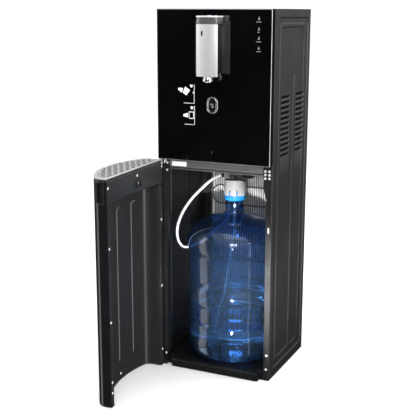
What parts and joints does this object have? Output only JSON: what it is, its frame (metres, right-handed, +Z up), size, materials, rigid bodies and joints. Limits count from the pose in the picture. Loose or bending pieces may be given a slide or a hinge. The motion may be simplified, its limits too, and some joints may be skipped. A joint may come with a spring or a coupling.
{
  "type": "bottom-loading water dispenser",
  "caption": "Free-standing bottom-loading water dispenser: tall cabinet with glass fascia and spout tower, hinged lower door with drip tray, bottle, suction hose and cooling system.",
  "frame": {"origin": "centre of the cabinet footprint, on the floor plane under the base pan", "axes": "+Z up, +X to the right seen from the front, the glass front faces -Y"},
  "size_m": [0.4091, 0.635, 1.03],
  "materials": {
    "painted_side_sheet": "fine satin powder coat",
    "black_sheet": "satin black paint",
    "galvanised_sheet": "dull galvanised",
    "crossbar_steel": "brushed",
    "black_plastic": "fine moulded texture",
    "gloss_black_plastic": "high gloss",
    "liner_plastic": "satin thermoformed sheet",
    "black_glass": "back-painted glass, polished",
    "silver_shell": "satin anodised",
    "smoked_band": "smoked and translucent",
    "bright_trim": "polished",
    "dark_grey_trim": "satin",
    "white_plastic": "satin white",
    "light_blue_plastic": "translucent sky blue",
    "silicone": "smooth white silicone",
    "pale_fitting": "moulded",
    "red_key": "gloss",
    "grey_key": "gloss",
    "blue_key": "gloss",
    "green_rocker": "gloss",
    "zinc_steel": "zinc plated",
    "zinc_screw": "bright zinc",
    "grille_grey": "satin silver grey",
    "blue_bottle": "clear blue polycarbonate",
    "clear_water": "clear liquid",
    "clear_tube": "clear flexible plastic",
    "wire_steel": "bright wire",
    "black_steel_tube": "black paint",
    "foam_jacket": "moulded foam",
    "tank_steel": "drawn stainless",
    "pump_blue": "moulded",
    "circuit_green": "circuit board",
    "black_rubber": "moulded"
  },
  "bodies": {
    "cabinet": {"side_panel_left": "painted_side_sheet", "side_panel_right": "painted_side_sheet", "top_panel": "painted_side_sheet", "base_pan": "black_sheet", "bottle_tray": "black_plastic", "front_post_left": "black_sheet", "front_post_right": "black_sheet", "gusset_plates": "black_sheet", "back_posts": "black_sheet", "mid_deck": "galvanised_sheet", "crossbar": "crossbar_steel", "upper_back_cover": "black_sheet", "fascia_frame": "black_plastic", "fascia_glass": "black_glass", "spout_body": "gloss_black_plastic", "spout_shell": "silver_shell", "spout_band": "smoked_band", "spout_cap": "bright_trim", "sensor_window": "gloss_black_plastic", "nozzle_ring": "bright_trim", "nozzle_insert": "silicone", "button_bezel": "dark_grey_trim", "hinge_bracket_bottom": "zinc_steel", "hinge_bracket_top": "zinc_steel", "latch_striker": "white_plastic", "cabinet_screws": "zinc_screw", "hose": "silicone", "hose_fitting": "pale_fitting", "probe_hook": "black_plastic", "condenser_wires": "wire_steel", "condenser_tube": "black_steel_tube", "compressor": "black_steel_tube", "cold_tank": "foam_jacket", "hot_tank": "tank_steel", "pump": "pump_blue", "control_board": "circuit_green", "cord_gland": "black_rubber"},
    "door": {"door_skin": "gloss_black_plastic", "door_inner_panel": "liner_plastic", "door_bottom_rim": "black_plastic", "door_handle_cup": "black_plastic", "hinge_knuckles": "black_plastic", "door_latch": "black_plastic", "catch_bracket": "black_plastic", "door_screws": "zinc_screw"},
    "tray": {"drip_tray": "black_plastic"},
    "grille": {"drip_grille": "grille_grey"},
    "bottle": {"water_bottle": "blue_bottle", "water": "clear_water", "snap_ring": "light_blue_plastic"},
    "probe": {"probe_cap": "white_plastic", "probe_cap_top": "dark_grey_trim", "dip_tube": "clear_tube", "strainer": "clear_tube"},
    "button": {"dispense_button": "gloss_black_plastic"},
    "hot_key": {"key_hot": "red_key"},
    "ambient_key": {"key_ambient": "grey_key"},
    "cold_key": {"key_cold": "blue_key"},
    "heating_rocker": {"rocker_heating": "red_key"},
    "cooling_rocker": {"rocker_cooling": "green_rocker"}
  },
  "joints": [
    {"name": "door_hinge", "type": "hinge", "parent": "cabinet", "child": "door", "pos_m": [-0.163, -0.155, 0.3], "axis": [0, 0, 1], "range_deg": [-18, 87.5]},
    {"name": "drip_tray_lift", "type": "slide", "parent": "door", "child": "tray", "axis": [0, 0, -1], "range_m": [-0.06, 0]},
    {"name": "drip_grille_lift", "type": "slide", "parent": "tray", "child": "grille", "axis": [0, 0, -1], "range_m": [-0.03, 0]},
    {"name": "bottle_slide", "type": "slide", "parent": "cabinet", "child": "bottle", "axis": [0, 1, 0], "range_m": [-0.28, 0], "deforming": ["hose"]},
    {"name": "probe_lift", "type": "slide", "parent": "bottle", "child": "probe", "axis": [0, 0, 1], "range_m": [0, 0.012], "deforming": ["water"]},
    {"name": "dispense_press", "type": "slide", "parent": "cabinet", "child": "button", "axis": [0, 1, 0], "range_m": [0, 0.003], "stiffness_N_per_m": 600, "springref_m": -0.001},
    {"name": "key_hot_press", "type": "slide", "parent": "cabinet", "child": "hot_key", "axis": [0, 0, -1], "range_m": [0, 0.0015], "stiffness_N_per_m": 500, "springref_m": -0.001},
    {"name": "key_ambient_press", "type": "slide", "parent": "cabinet", "child": "ambient_key", "axis": [0, 0, -1], "range_m": [0, 0.0015], "stiffness_N_per_m": 500, "springref_m": -0.001},
    {"name": "key_cold_press", "type": "slide", "parent": "cabinet", "child": "cold_key", "axis": [0, 0, -1], "range_m": [0, 0.0015], "stiffness_N_per_m": 500, "springref_m": -0.001},
    {"name": "heating_switch_tilt", "type": "hinge", "parent": "cabinet", "child": "heating_rocker", "pos_m": [-0.12, 0.145, 0.701], "axis": [-1, 0, 0], "range_deg": [0, 14]},
    {"name": "cooling_switch_tilt", "type": "hinge", "parent": "cabinet", "child": "cooling_rocker", "pos_m": [-0.095, 0.145, 0.701], "axis": [-1, 0, 0], "range_deg": [0, 14]}
  ]
}
